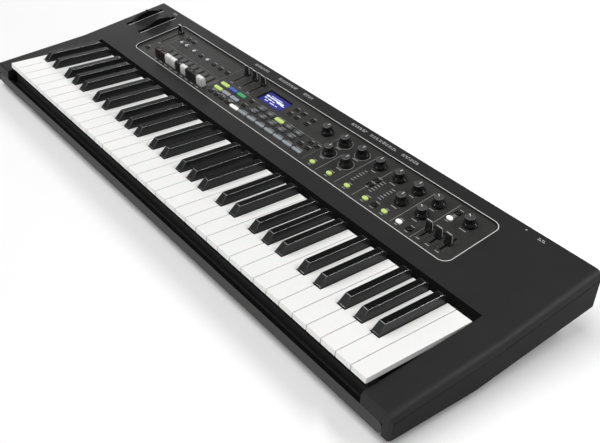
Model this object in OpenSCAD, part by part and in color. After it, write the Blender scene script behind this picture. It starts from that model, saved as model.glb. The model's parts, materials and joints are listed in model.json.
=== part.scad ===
// Portable 61-key stage synthesizer: two-piece case, keyboard, control panel and rear sockets.
// Origin: middle of the footprint, on the table. +X to the player's right, +Y to the rear, +Z up.

/* [Case] */
// Overall width
case_w = 937; // [931:1:943]
// Overall depth
case_d = 330; // [328:1:334]
// Height of the rubber feet
foot_h = 12; // [10:1:13]
// Height of the rear top edge
rear_h = 86; // [84:1:90]
// Slope of the top panel in degrees
tilt = 9.5; // [9:0.1:10]
// Thickness of the upright case walls
wall = 3; // [2.5:0.1:3.2]
// Thickness of the sloping top skin
skin = 2.4; // [2.2:0.1:2.8]
// Radius along the outer top edges
edge_r = 11; // [8:1:12]
// Radius of the upright corners in plan
corner_r = 5; // [4:1:9]

/* [Keys] */
// Spacing of the white keys
key_pitch = 23.5; // [23.4:0.05:23.5]
// Height of the white key tops
key_top = 57; // [56:0.5:57.5]
// Gap between neighbouring white keys
key_gap = 1; // [0.8:0.1:1.4]
// Height of a black key above the white tops
black_h = 12.7; // [11:0.1:13]
// Width of a black key at its foot
black_w = 12.6; // [11.5:0.1:13]
// Largest key rotation in degrees, used for clearances
key_travel = 2.8; // [2.4:0.1:2.8]

/* [Controls] */
// Height of a rotary knob above the panel
knob_h = 14; // [12:0.5:16]
// Radius of the knob skirt
knob_r = 9.4; // [8.5:0.1:10]
// Height of a slider handle above the panel
slider_h = 17; // [14:0.5:18]
// Height of a drawbar cap above the panel
drawbar_h = 16; // [13:0.5:17]
// How far the push buttons stand above the panel
button_h = 1.6; // [1.2:0.1:2]
// Gap around each push button
button_gap = 0.35; // [0.3:0.05:0.5]

/* [Sockets] */
// Bore radius of a 6.3 mm jack
jack_r = 3.2; // [3.18:0.01:3.25]
// Length of a jack bushing
jack_len = 24; // [20:1:26]
// Height of the socket centres
socket_z = 62; // [61:1:63]

/* [Hidden] */
$fn = 64;
eps = 0.01;
charcoal = [0.16, 0.16, 0.165];
rail_grey = [0.3, 0.3, 0.31];
ink = [0.05, 0.05, 0.055];
ivory = [0.93, 0.93, 0.92];
steel = [0.6, 0.61, 0.63];
board_green = [0.1, 0.3, 0.18];

// Case landmarks, as distances from the front edge
block_end_d = 165;      // where the end block top meets the panel slope
fall_d = 172;           // front face of the fallboard
fall_run = 7;           // how far its sloping face leans back
fall_z = 52;            // lower edge of the fallboard
block_front_z = 43;     // top of the end blocks at the front
block_chamfer = 2.5;    // small bevel on their front edge
cutter_overrun = 1.5;   // how far the front edge tool runs into the rear one
opening_hw = 424.5;     // half width of the key opening
cheek_flat_d = 130;     // flat part of the cheek lower edge
cheek_rear_z = 39;      // lower edge of the rear wall
tray_hw = 448;          // half width of the lower tray
tray_flat_d = 300;      // end of the flat underside
tray_wall = 3;
seam = 0.3;             // gap between the two case halves
rail_hw = 457;
rail_h = 15.5;
rail_t = 3.5;
rail_r = 6;

// Recessed control panel
win_x0 = -365;
win_x1 = 342;
win_d0 = 208.5;
win_d1 = 307;
win_r = 12;
plate_t = 2.5;
plate_lip = 5;          // how far the plate runs under the skin
ref_d = 258;
plate_top = -skin;
plate_low = plate_top - plate_t;
board_top = -14.5;
board_t = 1.6;
board_d0 = 212.5;       // ends of the panel board, clear of the keybed and the jacks
board_d1 = 302;

// Keys
white_n = 36;
keys_x0 = -white_n * key_pitch / 2;
white_d0 = 6.5;
white_d1 = 166;
notch_d = 58.8;
slab_t = 8;
slab_z = key_top - slab_t;
black_d0 = 60;
black_d1 = 164;
black_top_w = 9.4;
black_front = 9;        // run of the sloping front
black_clear = 0.8;
rib_w = 4;
rib_z = 40;
rib_d0 = 40;
hinge_d = 205;
hinge_z = 44.5;
hinge_r = 4.5;
pin_r = 2;
pin_gap = 0.3;
// black key after each white of the octave: present, and shift from the boundary
has_black = [1, 1, 0, 1, 1, 1, 0];
black_shift = [-2.6, 3.1, 0, -2.8, 0.4, 3.4, 0];

// Lever geometry, in panel coordinates
lever_d = 279;
lever_depth = 33.5;
lever_r = 44;
lever_w = 7;
lever_slot_w = 8.6;
lever_slot_d0 = 239;
lever_slot_d1 = 314;
axle_r = 2.5;
pitch_x = -439.5;
mod_x = -400;

// Rotary knobs: x, distance from the front, pointer angle
knob_pos = [
  [49.3, 282, 0], [87, 282, 0], [87, 252, 0], [122, 282, 0], [122, 252, 0],
  [157, 282, 0], [193, 282, 0], [227.5, 282, 0], [227.5, 251, 0],
  [262.5, 282, 50], [262.5, 252, 50], [313.5, 282, 50]
];
shaft_r = 3;
shaft_gap = 0.3;

// Sliders: x, slot start, slot end, handle position
slider_pos = [
  [-345.7, 252, 300.5, 292],
  [-156.4, 267.5, 300.5, 294], [-135.4, 267.5, 300.5, 294], [-114.5, 267.5, 300.5, 294],
  [288.3, 223, 251.5, 238.5], [304.1, 223, 251.5, 238.5], [319.9, 223, 251.5, 238.5]
];
slot_w = 2.4;
stem_w = 1.4;
stem_l = 5;
wiper_w = 6;
track_w = 9;
track_h = 8.5;

// Drawbars
drawbar_x0 = -305.6;
drawbar_pitch = 15.2;
drawbar_w = 14.5;
drawbar_l = 10;
drawbar_d = 223;
drawbar_slot_d0 = 219;
drawbar_slot_d1 = 250;

// Push buttons: x, distance from the front, width, length
part_buttons = [for (d = [237.5, 251]) for (x = [-157.2, -135.9, -114.7]) [x, d, 19.6, 7.2]];
voice_buttons_a = [for (i = [0:7]) [-96.7 + 21.1 * i, 223.5, 19.6, 6]];
voice_buttons_b = [for (i = [0:4]) [-64.7 + 21.5 * i, 251, 18, 7]];
voice_buttons_c = [for (i = [0:4]) [-68.7 + 22 * i, 238, 16, 6.4]];
effect_list = [
  [86.3, 222.8], [120.8, 222.8], [156.3, 222.8], [191.3, 222.8], [226.3, 222.8],
  [208.8, 222.8], [252.3, 222.8], [270.3, 222.8], [288.8, 273.5], [289.3, 288.5],
  [174.8, 247], [174.8, 259]
];
effect_buttons_v = [for (p = effect_list) [p[0], p[1], 9, 6.4]];
menu_list = [
  [-159.7, 224], [-145.2, 224], [-130.7, 224], [-116.2, 224], [-91.2, 237.3], [-91.2, 251.8],
  [41.8, 237.5], [57.5, 237.5], [51, 249.5], [65, 249.5],
  [-25.7, 273.8], [-25.7, 287.5], [-10.5, 273.8], [-10.5, 287.5], [11.8, 274.2], [11.8, 286.5],
  [-319, 290], [-304.7, 290], [-258.7, 273], [-220.7, 273], [-202.7, 273], [-183.7, 273],
  [-347.5, 224.5], [-318.2, 275], [-303.5, 275], [-279, 274], [-239.7, 273.5]
];
menu_buttons_v = [for (p = menu_list) [p[0], p[1], 8, 5]];
flange = 0.6;             // how far a button's retaining flange stands out
switch_top = -10.8;

// Display
lcd_x = -68.7;
lcd_d = 279.5;
lcd_w = 54;
lcd_l = 30;

// Sockets on the rear wall, all along x
jack_x = [-412, -163, -142, -100, -77, 62, 84];
din_x = [109, 134];
usb_b_x = 162;
usb_a_x = 184;
dc_x = 365;
power_x = 389;
socket_face = 0.4;      // how far the sockets sit inside the wall face
nut_r = 7;
nut_t = 1.4;

// Fasteners
post_r = 5;
screw_r = 1.5;
screw_head_r = 4;
case_posts = [
  for (sx = [-1, 1]) for (d = [30, 120, 232]) [sx * 436, d],
  [-378, 285], [375, 285], [436, 285]
];
bed_posts = [for (i = [-2:2]) [i * 190, 24]];
post_z = foot_h + 8;
feet_x = 400;
feet_d = [45, 262];

// ---------- helpers ----------

// height of the top surface at a distance from the front
function top_z(d) = d >= block_end_d
  ? rear_h - (case_d - d) * tan(tilt)
  : block_front_z + (top_z(block_end_d) - block_front_z) * d / block_end_d;

// distance along the slope from the panel reference line
function along(d) = (d - ref_d) / cos(tilt);

// y of a distance from the front
function yy(d) = d - case_d / 2;

// extrude a side view (distance, height) across the width
module across(w) {
  translate([0, -case_d / 2, 0])
    rotate([90, 0, 90])
      linear_extrude(w, center = true)
        children();
}

// panel coordinates: x, along the slope, out of the surface
module on_panel() {
  translate([0, yy(ref_d), top_z(ref_d)])
    rotate([tilt, 0, 0])
      children();
}

module at_panel(x, d) {
  on_panel()
    translate([x, along(d), 0])
      children();
}

// box between two x values, two distances from the front and two heights
module box(x0, x1, d0, d1, z0, z1) {
  translate([x0, yy(d0), z0])
    cube([x1 - x0, d1 - d0, z1 - z0]);
}

module rounded_rect(w, l, r) {
  square([w - 2 * r, l], center = true);
  square([w, l - 2 * r], center = true);
  for (sx = [-1, 1])
    for (sy = [-1, 1])
      translate([sx * (w / 2 - r), sy * (l / 2 - r)])
        circle(r);
}

module panel_window_2d(grow) {
  translate([(win_x0 + win_x1) / 2, (along(win_d0) + along(win_d1)) / 2])
    rounded_rect(win_x1 - win_x0 + 2 * grow, along(win_d1) - along(win_d0) + 2 * grow, win_r + grow);
}

// plan outline with rounded corners
module plan(inset, r) {
  rounded_rect(case_w - 2 * inset, case_d - 2 * inset, r);
}

// removes everything outside a round of radius edge_r along a sloping outer edge
module edge_cutter(d0, d1, overrun) {
  z0 = top_z(d0);
  z1 = top_z(d1);
  slope = atan2(z1 - z0, d1 - d0);
  length = (d1 - d0) / cos(slope) + overrun;
  for (side = [0, 1])
    mirror([side, 0, 0])
      translate([case_w / 2, yy(d0), z0])
        rotate([slope, 0, 0])
          rotate([-90, 0, 0])
            linear_extrude(length)
              difference() {
                translate([-edge_r, -2])
                  square([edge_r + 2, edge_r + 2]);
                translate([-edge_r, edge_r])
                  circle(edge_r);
              }
}

// cylinder along the width at a distance from the front and a height
module rod(x0, x1, d, z, r) {
  translate([x0, yy(d), z])
    rotate([0, 90, 0])
      cylinder(h = x1 - x0, r = r);
}

// cylinder running back into the case from a depth behind the rear face
module rear_pin(x, depth, length, r, z = socket_z) {
  translate([x, case_d / 2 - depth, z])
    rotate([90, 0, 0])
      cylinder(h = length, r = r);
}

// ---------- case ----------

module case_outline() {
  intersection() {
    across(case_w)
      polygon([
        [0, foot_h], [cheek_flat_d, foot_h], [case_d, cheek_rear_z], [case_d, rear_h],
        [block_end_d, top_z(block_end_d)], [block_chamfer, top_z(block_chamfer)],
        [0, block_front_z - block_chamfer]
      ]);
    linear_extrude(rear_h + 10)
      plan(0, corner_r);
  }
}

// room inside the case: full width low down, narrower under the rounded edges
module case_room() {
  front = wall;
  back = case_d - wall;
  intersection() {
    union() {
      across(case_w - 2 * wall)
        polygon([
          [front, 0], [back, 0], [back, top_z(back) - edge_r],
          [block_end_d, top_z(block_end_d) - edge_r], [front, top_z(front) - edge_r]
        ]);
      across(case_w - 2 * edge_r)
        polygon([
          [front, 0], [back, 0], [back, top_z(back) - skin / cos(tilt)],
          [block_end_d, top_z(block_end_d) - skin / cos(tilt)],
          [front, top_z(front) - skin / cos(tilt)]
        ]);
    }
    linear_extrude(rear_h)
      plan(wall, corner_r - wall);
    difference() {
      box(-case_w, case_w, 0, case_d, -1, rear_h);
      box(-opening_hw - wall, opening_hw + wall, -1, fall_d + fall_run + wall, -2, rear_h + 1);
    }
  }
}

module rear_openings() {
  for (x = jack_x) {
    rear_pin(x, -1, wall + 2, 5.6);
    rear_pin(x, -1, 1 + socket_face + nut_t + 0.1, nut_r + 0.4);
  }
  for (x = din_x)
    rear_pin(x, -1, wall + 2, 9.1);
  box(usb_b_x - 6.2, usb_b_x + 6.2, case_d - wall - 1, case_d + 1, socket_z - 5.7, socket_z + 5.7);
  box(usb_a_x - 7.4, usb_a_x + 7.4, case_d - wall - 1, case_d + 1, socket_z - 3.7, socket_z + 3.7);
  rear_pin(dc_x, -1, wall + 2, 5.7);
  box(power_x - 6, power_x + 6, case_d - wall - 1, case_d + 1, socket_z - 4, socket_z + 4);
}

module upper_case() color(charcoal) difference() {
  union() {
    difference() {
      case_outline();
      case_room();
      box(-opening_hw, opening_hw, -1, fall_d, -1, rear_h);
      box(-opening_hw, opening_hw, fall_d - 1, fall_d + fall_run + wall + eps, -1, fall_z);
    }
    for (p = case_posts)
      translate([p[0], yy(p[1]), post_z + seam])
        cylinder(h = top_z(p[1]) - post_z - seam - skin / 2, r = post_r);
  }
  edge_cutter(block_end_d, case_d + 5, 0);
  edge_cutter(-5, block_end_d, cutter_overrun);
  // sloping face of the fallboard behind the keys
  across(2 * opening_hw)
    polygon([
      [fall_d - 1, fall_z - 1], [fall_d, fall_z], [fall_d + fall_run, top_z(fall_d + fall_run)],
      [fall_d + fall_run + 1, rear_h + 1], [fall_d - 1, rear_h + 1]
    ]);
  // recess for the control panel
  on_panel()
    translate([0, 0, -skin - 2])
      linear_extrude(skin + 6)
        panel_window_2d(0);
  // lever slots
  for (x = [pitch_x, mod_x])
    on_panel()
      translate([x - lever_slot_w / 2, along(lever_slot_d0), -skin - 2])
        cube([lever_slot_w, along(lever_slot_d1) - along(lever_slot_d0), skin + 6]);
  // notch for the front rail and room for the tray
  box(-rail_hw - seam, rail_hw + seam, -1, rail_t + 0.2, -1, foot_h + rail_h + seam);
  box(-tray_hw - seam, tray_hw + seam, -1, 2 * tray_wall + seam, -1, foot_h + rail_h + seam);
  box(-tray_hw - seam, tray_hw + seam, -1, case_d - wall, -1, foot_h + tray_wall + seam);
  rear_openings();
  for (p = case_posts)
    translate([p[0], yy(p[1]), post_z])
      cylinder(h = 14, r = screw_r + 0.1);
}

module tray_profile(t) {
  polygon([
    [tray_wall + t, foot_h + t], [tray_flat_d - t * 0.4, foot_h + t],
    [case_d - wall - 0.4 - t * 1.4, cheek_rear_z - 0.4 + t / 10],
    [tray_wall + t, cheek_rear_z - 0.4 + t / 10]
  ]);
}

module lower_case() color(rail_grey) difference() {
  union() {
    difference() {
      across(2 * tray_hw)
        tray_profile(0);
      across(2 * (tray_hw - tray_wall))
        tray_profile(tray_wall);
      box(-tray_hw - 1, tray_hw + 1, 0, 2 * tray_wall + eps, foot_h + rail_h, rear_h);
    }
    translate([0, yy(rail_t), foot_h + rail_h / 2])
      rotate([90, 0, 0])
        linear_extrude(rail_t)
          rounded_rect(2 * rail_hw, rail_h, rail_r);
    for (p = concat(case_posts, bed_posts))
      translate([p[0], yy(p[1]), foot_h])
        cylinder(h = post_z - foot_h, r = 6.5);
    // pads carrying the main board
    for (x = [-190, 190])
      for (d = [232, 292])
        translate([x, yy(d), foot_h])
          cylinder(h = 8, r = 4);
    // stiffening ribs across the floor
    for (x = [-285, -95, 95, 285])
      box(x - 1.5, x + 1.5, 40, 200, foot_h + 1, foot_h + 7);
  }
  for (p = concat(case_posts, bed_posts))
    translate([p[0], yy(p[1]), foot_h - 1]) {
      cylinder(h = 4.5, r = screw_head_r + 0.5);
      cylinder(h = 20, r = screw_r + 0.2);
    }
}

module rubber_feet() color(ink)
  for (sx = [-1, 1])
    for (d = feet_d)
      translate([sx * feet_x, yy(d), 0])
        difference() {
          cylinder(h = foot_h, r1 = 10.5, r2 = 12);
          translate([0, 0, -1])
            cylinder(h = 4, r = 4);
        }

module case_screws() color(steel)
  for (p = concat(case_posts, bed_posts))
    translate([p[0], yy(p[1]), foot_h + 1])
      difference() {
        union() {
          translate([0, 0, 0.2])
            cylinder(h = 2.3, r = screw_head_r);
          cylinder(h = 19, r = screw_r);
        }
        translate([-0.5, -2.4, -0.5])
          cube([1, 4.8, 1.7]);
        translate([-2.4, -0.5, -0.5])
          cube([4.8, 1, 1.7]);
      }

// ---------- control panel ----------

module button_holes(list) {
  for (b = list)
    translate([b[0], along(b[1])])
      square([b[2] + 2 * button_gap, b[3] + 2 * button_gap], center = true);
}

module control_panel() color(charcoal) on_panel()
  translate([0, 0, plate_low])
    linear_extrude(plate_t)
      difference() {
        panel_window_2d(plate_lip);
        for (k = knob_pos)
          translate([k[0], along(k[1])])
            circle(shaft_r + 0.7);
        for (s = slider_pos)
          translate([s[0], (along(s[1]) + along(s[2])) / 2])
            square([slot_w, along(s[2]) - along(s[1])], center = true);
        for (i = [0:8])
          translate([drawbar_x0 + drawbar_pitch * i, (along(drawbar_slot_d0) + along(drawbar_slot_d1)) / 2])
            square([slot_w, along(drawbar_slot_d1) - along(drawbar_slot_d0)], center = true);
        button_holes(part_buttons);
        button_holes(voice_buttons_a);
        button_holes(voice_buttons_b);
        button_holes(voice_buttons_c);
        button_holes(effect_buttons_v);
        button_holes(menu_buttons_v);
        translate([lcd_x, along(lcd_d)])
          square([lcd_w + 0.2, lcd_l + 0.2], center = true);
      }

module display_window() color([0.1, 0.12, 0.2]) at_panel(lcd_x, lcd_d)
  translate([0, 0, plate_top - 1.2])
    linear_extrude(1.2)
      square([lcd_w, lcd_l], center = true);

module display_module() color([0.2, 0.3, 0.8]) at_panel(lcd_x, lcd_d) {
  translate([0, 0, plate_top - 2.4])
    linear_extrude(1)
      square([lcd_w - 2, lcd_l - 2], center = true);
  translate([0, 0, board_top])
    linear_extrude(plate_top - 2.4 - board_top)
      square([lcd_w - 6, lcd_l - 6], center = true);
}

module board_switches(list) {
  for (b = list)
    translate([b[0], along(b[1]), board_top - eps])
      linear_extrude(switch_top - board_top)
        square([5, 4], center = true);
}

module circuit_boards() color(board_green) {
  // panel board with its tact switches
  on_panel() {
    translate([(win_x0 + win_x1) / 2, (along(board_d0) + along(board_d1)) / 2, board_top - board_t])
      linear_extrude(board_t)
        square([win_x1 - win_x0 - 4, along(board_d1) - along(board_d0)], center = true);
    board_switches(part_buttons);
    board_switches(voice_buttons_a);
    board_switches(voice_buttons_b);
    board_switches(voice_buttons_c);
    board_switches(effect_buttons_v);
    board_switches(menu_buttons_v);
  }
  // main board
  box(-200, 200, 226, 298, foot_h + 8, foot_h + 9.6);
  // key contact board
  box(-414, 414, 92, 150, foot_h + 12.5, foot_h + 14.1);
  // jack board
  box(-175, 200, 292, 325, socket_z - 11.6, socket_z - 10);
}

module knob_pots() color(steel)
  for (k = knob_pos)
    at_panel(k[0], k[1])
      difference() {
        union() {
          translate([-6, -6, board_top])
            cube([12, 12, 6]);
          translate([0, 0, board_top + 5])
            cylinder(h = plate_low - board_top - 5, r = 4.6);
        }
        translate([0, 0, board_top + 1.5])
          cylinder(h = 20, r = shaft_r + shaft_gap);
      }

module track(x, d0, d1) {
  mid = (along(d0) + along(d1)) / 2;
  length = along(d1) - along(d0);
  on_panel()
    translate([x, mid, plate_low - track_h])
      difference() {
        translate([0, 0, track_h / 2])
          cube([track_w, length + 8, track_h], center = true);
        translate([0, 0, track_h / 2 - 0.5])
          cube([wiper_w + 1, length + 5, track_h - 3], center = true);
        translate([0, 0, track_h])
          cube([slot_w, length, track_h], center = true);
      }
}

module slider_tracks() color(steel) {
  for (s = slider_pos)
    track(s[0], s[1], s[2]);
  for (i = [0:8])
    track(drawbar_x0 + drawbar_pitch * i, drawbar_slot_d0, drawbar_slot_d1);
}

// ---------- keyboard ----------

function key_x(i) = keys_x0 + key_pitch * i;
function black_x(i) = key_x(i + 1) + black_shift[i % 7];
function tail_left(i) = i > 0 && has_black[(i + 6) % 7] == 1
  ? black_x(i - 1) + black_w / 2 + black_clear
  : key_x(i) + key_gap / 2;
function tail_right(i) = i < white_n - 1 && has_black[i % 7] == 1
  ? black_x(i) - black_w / 2 - black_clear
  : key_x(i + 1) - key_gap / 2;

module key_rib(x, d0) {
  difference() {
    union() {
      box(x - rib_w / 2, x + rib_w / 2, d0, hinge_d, rib_z, slab_z + 1);
      rod(x - rib_w / 2, x + rib_w / 2, hinge_d, hinge_z, hinge_r + 0.5);
    }
    rod(x - rib_w, x + rib_w, hinge_d, hinge_z, pin_r + pin_gap);
  }
}

module white_key(i) {
  left = key_x(i) + key_gap / 2;
  right = key_x(i + 1) - key_gap / 2;
  difference() {
    box(left, right, white_d0, white_d1, slab_z, key_top);
    if (tail_left(i) > left)
      box(left - 1, tail_left(i), notch_d, white_d1 + 1, slab_z - 1, key_top + 1);
    if (tail_right(i) < right)
      box(tail_right(i), right + 1, notch_d, white_d1 + 1, slab_z - 1, key_top + 1);
    box(left + 2, right - 2, white_d0 + 2, rib_d0 - 4, slab_z - 1, key_top - 2.5);
  }
  key_rib((tail_left(i) + tail_right(i)) / 2, rib_d0);
}

module black_key(i) {
  x = black_x(i);
  z1 = key_top + black_h;
  intersection() {
    translate([x, 0, 0])
      across(black_w)
        polygon([
          [black_d0, slab_z], [black_d1, slab_z], [black_d1, z1 - 3], [black_d1 - 5, z1],
          [black_d0 + black_front, z1], [black_d0, key_top + 1.5]
        ]);
    translate([x, yy(black_d1 + 1), 0])
      rotate([90, 0, 0])
        linear_extrude(black_d1 - black_d0 + 2)
          polygon([
            [-black_w / 2, slab_z - 1], [black_w / 2, slab_z - 1], [black_w / 2, key_top],
            [black_top_w / 2, z1 + eps], [-black_top_w / 2, z1 + eps], [-black_w / 2, key_top]
          ]);
  }
  key_rib(x, black_d0 + 10);
}

module white_group(i0, i1) {
  for (i = [i0:i1])
    white_key(i);
}

module black_group(i0, i1) {
  for (i = [i0:i1])
    if (has_black[i % 7] == 1)
      black_key(i);
}

module keybed_frame() color(ink) {
  z0 = foot_h + 8;
  difference() {
    union() {
      box(-420, 420, 10, 214, z0, z0 + 2);
      box(-420, 420, 14, 34, z0, z0 + 16);
      box(-420, 420, 211.5, 214, z0, hinge_z + 6);
      for (k = [0, 3, 7, 10, 14, 17, 21, 24, 28, 31, 35, 36]) {
        x = max(-419, min(419, key_x(k)));
        box(x - 1, x + 1, hinge_d - 6, 213, z0, hinge_z + 6);
      }
      rod(-420, 420, hinge_d, hinge_z, pin_r);
      for (x = [-400, -240, -80, 80, 240, 400])
        for (d = [100, 142])
          translate([x, yy(d), z0])
            cylinder(h = 4.5, r = 3);
    }
    for (p = bed_posts)
      translate([p[0], yy(p[1]), z0 - 1])
        cylinder(h = 14, r = screw_r + 0.1);
  }
}

module key_felt() color([0.06, 0.06, 0.065])
  box(-419, 419, 20, 30, foot_h + 24, foot_h + 27.2);

// ---------- levers ----------

module lever_axis(x) {
  at_panel(x, lever_d)
    translate([0, 0, -lever_depth])
      rotate([0, -90, 0])
        children();
}

// angles are measured from straight up, positive to the rear
function polar(r, a) = [r * cos(a), r * sin(a)];

module lever(x, a0, a1, ridge) color(ink) lever_axis(x)
  translate([0, 0, -lever_w / 2])
    linear_extrude(lever_w)
      difference() {
        union() {
          intersection() {
            circle(lever_r);
            polygon([[0, 0], polar(80, a0), polar(90, (a0 + a1) / 2), polar(80, a1)]);
          }
          circle(7);
          // finger ridge
          polygon([
            polar(lever_r - 3, ridge - 3), polar(lever_r + 1.6, ridge - 0.5),
            polar(lever_r + 1.6, ridge + 2), polar(lever_r - 3, ridge + 9)
          ]);
        }
        circle(axle_r + 0.3);
      }

module pitch_lever() lever(pitch_x, -42, 40, 4);

module modulation_lever() lever(mod_x, -33, 44, 30);

module lever_housing() color(charcoal) {
  // thin outer plate, two inner plates, floor and axle
  for (plate = [[-444.5, 1], [-421, 2.5], [-392.5, 2.5]])
    box(plate[0], plate[0] + plate[1], 266, 303, 34.5, 64);
  box(-444, -390, 266, 303, 34.5, 36.5);
  lever_axis(0)
    translate([0, 0, 390])
      cylinder(h = 54, r = axle_r);
}

// ---------- controls ----------

module knob(i) color(ink) {
  k = knob_pos[i];
  at_panel(k[0], k[1])
    rotate([0, 0, k[2]]) {
      translate([0, 0, plate_top + 0.5])
        difference() {
          rotate_extrude()
            polygon([
              [0, 0], [knob_r, 0], [knob_r, 3.6], [knob_r - 0.7, 5], [7.6, 6.4],
              [6.9, knob_h - 1.6], [6.1, knob_h - 0.5], [0, knob_h - 0.5]
            ]);
          translate([-0.5, 2, knob_h - 1])
            cube([1, 5, 2]);
          translate([0, 0, -1])
            cylinder(h = knob_h - 3.5, r = shaft_r);
        }
      // shaft pressed into the cap
      difference() {
        translate([0, 0, board_top + 2])
          cylinder(h = plate_top - board_top - 2 + knob_h - 5, r = shaft_r - 0.02);
        translate([-5, 1.6, plate_top + 1])
          cube([10, 5, 20]);
      }
    }
}

module handle_stem(x, d) {
  at_panel(x, d) {
    translate([-stem_w / 2, -stem_l / 2, plate_low - 5])
      cube([stem_w, stem_l, plate_t + 7]);
    translate([-wiper_w / 2, -stem_l / 2, plate_low - 6])
      cube([wiper_w, stem_l, 3]);
  }
}

module slider(i) color(ink) {
  s = slider_pos[i];
  handle_stem(s[0], s[3]);
  at_panel(s[0], s[3])
    translate([0, 0, plate_top + 0.6]) {
      intersection() {
        rotate([90, 0, 0])
          linear_extrude(10, center = true)
            polygon([[-5, 0], [5, 0], [4.75, slider_h], [-4.75, slider_h]]);
        rotate([90, 0, 90])
          linear_extrude(12, center = true)
            polygon([
              [-4, 0], [4, 0], [3.4, 3], [1.8, 6], [1.5, slider_h - 0.6],
              [-1.5, slider_h - 0.6], [-1.8, 6], [-3.4, 3]
            ]);
      }
    }
}

module drawbar(i) {
  x = drawbar_x0 + drawbar_pitch * i;
  handle_stem(x, drawbar_d);
  at_panel(x, drawbar_d)
    translate([0, 0, plate_top + 0.6])
      rotate([90, 0, 90])
        linear_extrude(drawbar_w, center = true)
          polygon([
            [-drawbar_l / 2, 0], [drawbar_l / 2, 0], [drawbar_l / 2 - 0.4, drawbar_h - 2.6],
            [drawbar_l / 2 - 1.6, drawbar_h - 0.6], [-drawbar_l / 2 + 1.6, drawbar_h - 0.6],
            [-drawbar_l / 2 + 0.4, drawbar_h - 2.6]
          ]);
}

module drawbars(list) {
  for (i = list)
    drawbar(i);
}

module buttons(list) {
  for (b = list)
    at_panel(b[0], b[1]) {
      translate([0, 0, plate_low - 1])
        linear_extrude(plate_t + 1 + button_h)
          square([b[2], b[3]], center = true);
      translate([0, 0, plate_low - 2.2])
        linear_extrude(1.6)
          square([b[2] + 2 * flange, b[3] + 2 * flange], center = true);
      translate([0, 0, switch_top + 1.6])
        linear_extrude(plate_low - 2 - switch_top - 1.6)
          square([3, 3], center = true);
    }
}

module power_button() color(ink) {
  box(power_x - 5.6, power_x + 5.6, case_d - 9, case_d - socket_face, socket_z - 3.6, socket_z + 3.6);
  box(power_x - 2, power_x + 2, case_d - 16, case_d - 8, socket_z - 1.5, socket_z + 1.5);
}

// ---------- rear sockets ----------

module jack_sockets() color(steel)
  for (x = jack_x)
    difference() {
      union() {
        rear_pin(x, socket_face, jack_len, 5.4);
        translate([x, case_d / 2 - socket_face, socket_z])
          rotate([90, 0, 0])
            cylinder(h = nut_t, r = nut_r, $fn = 6);
        box(x - 6.8, x + 6.8, case_d - socket_face - jack_len, case_d - wall - 0.4,
          socket_z - 9.9, socket_z + 6.5);
      }
      rear_pin(x, -1, jack_len, jack_r);
    }

module din_socket(x) {
  difference() {
    union() {
      rear_pin(x, socket_face, 8, 8.9);
      box(x - 10, x + 10, case_d - 20, case_d - wall - 0.4, socket_z - 9.9, socket_z + 9);
    }
    // groove for the plug shell, around a core with five contacts
    difference() {
      rear_pin(x, -1, 12, 7.6);
      rear_pin(x, socket_face + 1, 20, 6.7);
    }
    for (a = [0, 45, 90, 135, 180])
      rear_pin(x + 4 * cos(a), -1, 12, 0.8, socket_z + 4 * sin(a) - 1);
  }
}

module data_sockets() color(steel) {
  for (x = din_x)
    din_socket(x);
  // USB type B
  difference() {
    box(usb_b_x - 6, usb_b_x + 6, case_d - 17, case_d - socket_face, socket_z - 5.5, socket_z + 5.5);
    box(usb_b_x - 4.2, usb_b_x + 4.2, case_d - 13, case_d + 1, socket_z - 3.9, socket_z + 3.9);
  }
  box(usb_b_x - 2.8, usb_b_x + 2.8, case_d - 14, case_d - 4, socket_z - 1.6, socket_z + 1.6);
  // USB type A
  difference() {
    box(usb_a_x - 7.2, usb_a_x + 7.2, case_d - 17, case_d - socket_face, socket_z - 3.5, socket_z + 3.5);
    box(usb_a_x - 6.25, usb_a_x + 6.25, case_d - 14, case_d + 1, socket_z - 2.55, socket_z + 2.55);
  }
  box(usb_a_x - 5.6, usb_a_x + 5.6, case_d - 15, case_d - 4, socket_z + 0.2, socket_z + 2);
  // power inlet
  difference() {
    union() {
      rear_pin(dc_x, socket_face, 10, 5.5);
      box(dc_x - 5.5, dc_x + 5.5, case_d - 16, case_d - wall - 0.4, socket_z - 5.5, socket_z + 5.5);
    }
    rear_pin(dc_x, -1, 11, 3.2);
  }
  rear_pin(dc_x, 2, 10, 1);
}

// ---------- nodes ----------

module key_white_color(i) color(ivory) white_key(i);
module key_black_color(i) color(ink) black_key(i);

upper_case();
lower_case();
control_panel();
display_window();
display_module();
circuit_boards();
knob_pots();
slider_tracks();
keybed_frame();
key_felt();
jack_sockets();
data_sockets();
rubber_feet();
case_screws();
lever_housing();
power_button();
knob(0);  // knob_dial
knob(1);  // knob_1
knob(2);  // knob_2
knob(3);  // knob_3
knob(4);  // knob_4
knob(5);  // knob_5
knob(6);  // knob_6
knob(7);  // knob_7
knob(8);  // knob_8
knob(9);  // knob_9
knob(10);  // knob_10
knob(11);  // knob_11
pitch_lever();
modulation_lever();
slider(0);  // slider_volume
slider(1);  // slider_part_1
slider(2);  // slider_part_2
slider(3);  // slider_part_3
slider(4);  // slider_low
slider(5);  // slider_mid
slider(6);  // slider_high
color([0.3, 0.14, 0.08]) drawbars([0, 1]);  // drawbars_brown
color(ivory) drawbars([2, 3, 5, 8]);  // drawbars_white
color(ink) drawbars([4, 6, 7]);  // drawbars_black
key_white_color(14);  // key_c
key_black_color(14);  // key_c_sharp
key_white_color(15);  // key_d
key_black_color(15);  // key_d_sharp
key_white_color(16);  // key_e
key_white_color(17);  // key_f
key_black_color(17);  // key_f_sharp
key_white_color(18);  // key_g
key_black_color(18);  // key_g_sharp
key_white_color(19);  // key_a
key_black_color(19);  // key_a_sharp
key_white_color(20);  // key_b
color(ivory) white_group(0, 13);  // keys_lower_white
color(ink) black_group(0, 13);  // keys_lower_black
color(ivory) white_group(21, 35);  // keys_upper_white
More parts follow.
